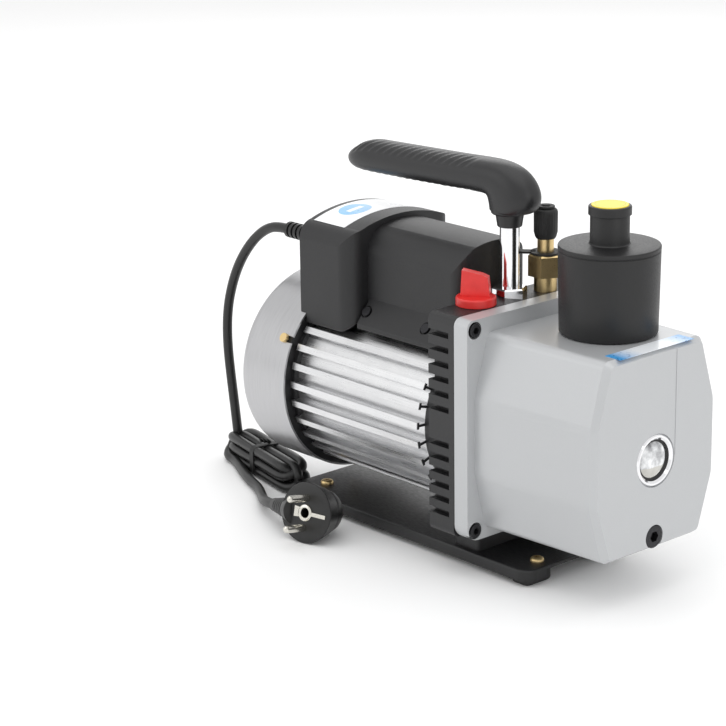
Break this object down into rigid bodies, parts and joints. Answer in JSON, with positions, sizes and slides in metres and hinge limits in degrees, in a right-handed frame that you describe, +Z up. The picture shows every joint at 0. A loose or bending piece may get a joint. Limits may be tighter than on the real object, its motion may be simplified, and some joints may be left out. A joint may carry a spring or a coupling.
{
  "type": "rotary vane vacuum pump",
  "caption": "Portable rotary vane vacuum pump with oil case, sight glass, exhaust filter, finned motor, carrying handle and mains lead.",
  "frame": {"origin": "under the middle of the pump, on the surface it stands on", "axes": "+X along the shaft towards the oil case's sight glass, +Y away from the gas ballast knob's side, +Z up"},
  "size_m": [0.3757, 0.1707, 0.2435],
  "materials": {
    "black_tray": "satin black powder coat",
    "rubber": "moulded black",
    "brass": "machined",
    "black_casting": "satin black paint over casting",
    "black_steel": "black oxide",
    "silver_paint": "satin silver paint",
    "chrome": "polished",
    "lens": "clear",
    "sticker": "printed film",
    "aluminium": "extruded",
    "steel": "ground",
    "iron": "machined",
    "enamelled_wire": "varnished winding",
    "black_plastic": "moulded",
    "capacitor_can": "moulded",
    "vane_composite": "laminated",
    "filter_media": "felt",
    "yellow": "moulded",
    "red": "moulded",
    "cord_black": "moulded"
  },
  "bodies": {
    "pump": {"base_plate": "black_tray", "rubber_feet": "rubber", "foot_screws": "brass", "bracket": "black_casting", "bracket_bolts": "black_steel", "oil_case": "silver_paint", "case_gasket": "rubber", "case_screws": "black_steel", "sight_ring": "chrome", "sight_lens": "lens", "sight_seal": "rubber", "case_sticker": "sticker", "handle_post": "chrome", "handle_nut": "chrome", "handle_grip": "rubber", "inlet_fitting": "brass", "inlet_strainer": "steel", "cap_strap": "rubber", "motor_shell": "aluminium", "rear_endshield": "black_casting", "rear_bearing": "steel", "front_bearing": "steel", "stator_core": "steel", "stator_windings": "enamelled_wire", "fan_cover": "aluminium", "cover_screws": "brass", "box_shell": "black_plastic", "box_screws": "black_steel", "box_sticker": "sticker", "run_capacitor": "capacitor_can", "switch_bezel": "black_plastic", "strain_relief": "cord_black", "shaft_seal": "rubber", "pump_block": "iron", "pump_end_plate": "iron", "pump_screws": "steel", "reed_stop": "steel", "cord_lead": "cord_black", "cord_hank": "cord_black", "cord_tail": "cord_black", "cord_tie": "cord_black", "plug_body": "cord_black", "plug_pins": "chrome"},
    "shaft": {"motor_shaft": "steel", "motor_rotor": "aluminium", "fan": "black_plastic", "coupling": "steel", "pump_rotor": "steel", "vane_springs": "steel"},
    "near_vane": {"vane_near": "vane_composite"},
    "far_vane": {"vane_far": "vane_composite"},
    "reed": {"exhaust_reed": "steel"},
    "drain": {"drain_plug": "black_steel"},
    "filter": {"filter_housing": "black_plastic", "filter_element": "filter_media"},
    "filter_cap": {"exhaust_cap": "black_plastic", "cap_disc": "yellow"},
    "knob": {"ballast_knob": "red"},
    "inlet_cap": {"flare_cap": "rubber"},
    "rocker": {"switch_rocker": "black_plastic"}
  },
  "joints": [
    {"name": "shaft_spin", "type": "hinge", "parent": "pump", "child": "shaft", "pos_m": [0, 0, 0.0841], "axis": [1, 0, 0], "continuous": true},
    {"name": "near_vane_slide", "type": "slide", "parent": "shaft", "child": "near_vane", "axis": [0, -1, 0], "range_m": [0, 0.0032]},
    {"name": "far_vane_slide", "type": "slide", "parent": "shaft", "child": "far_vane", "axis": [0, 1, 0], "range_m": [0, 0.0032]},
    {"name": "reed_flex", "type": "hinge", "parent": "pump", "child": "reed", "pos_m": [0.05233, 0.009, 0.112], "axis": [0, -1, 0], "range_deg": [0, 5], "stiffness_Nm_per_rad": 0.004},
    {"name": "drain_turn", "type": "hinge", "parent": "pump", "child": "drain", "pos_m": [0.14602, 0, 0.0384], "axis": [1, 0, 0], "continuous": true},
    {"name": "filter_turn", "type": "hinge", "parent": "pump", "child": "filter", "pos_m": [0.10633, 0.0068, 0.16], "axis": [0, 0, 1], "continuous": true},
    {"name": "filter_cap_pull", "type": "slide", "parent": "filter", "child": "filter_cap", "axis": [0, 0, 1], "range_m": [0, 0.012]},
    {"name": "knob_turn", "type": "hinge", "parent": "pump", "child": "knob", "pos_m": [0.03383, -0.03, 0.1612], "axis": [0, 0, 1], "range_deg": [0, 90]},
    {"name": "inlet_cap_pull", "type": "slide", "parent": "pump", "child": "inlet_cap", "axis": [0, 0, 1], "range_m": [0, 0.012], "deforming": ["cap_strap"]},
    {"name": "rocker_tip", "type": "hinge", "parent": "pump", "child": "rocker", "pos_m": [-0.10867, 0.014, 0.172], "axis": [0, 1, 0], "range_deg": [-6, 6]}
  ]
}
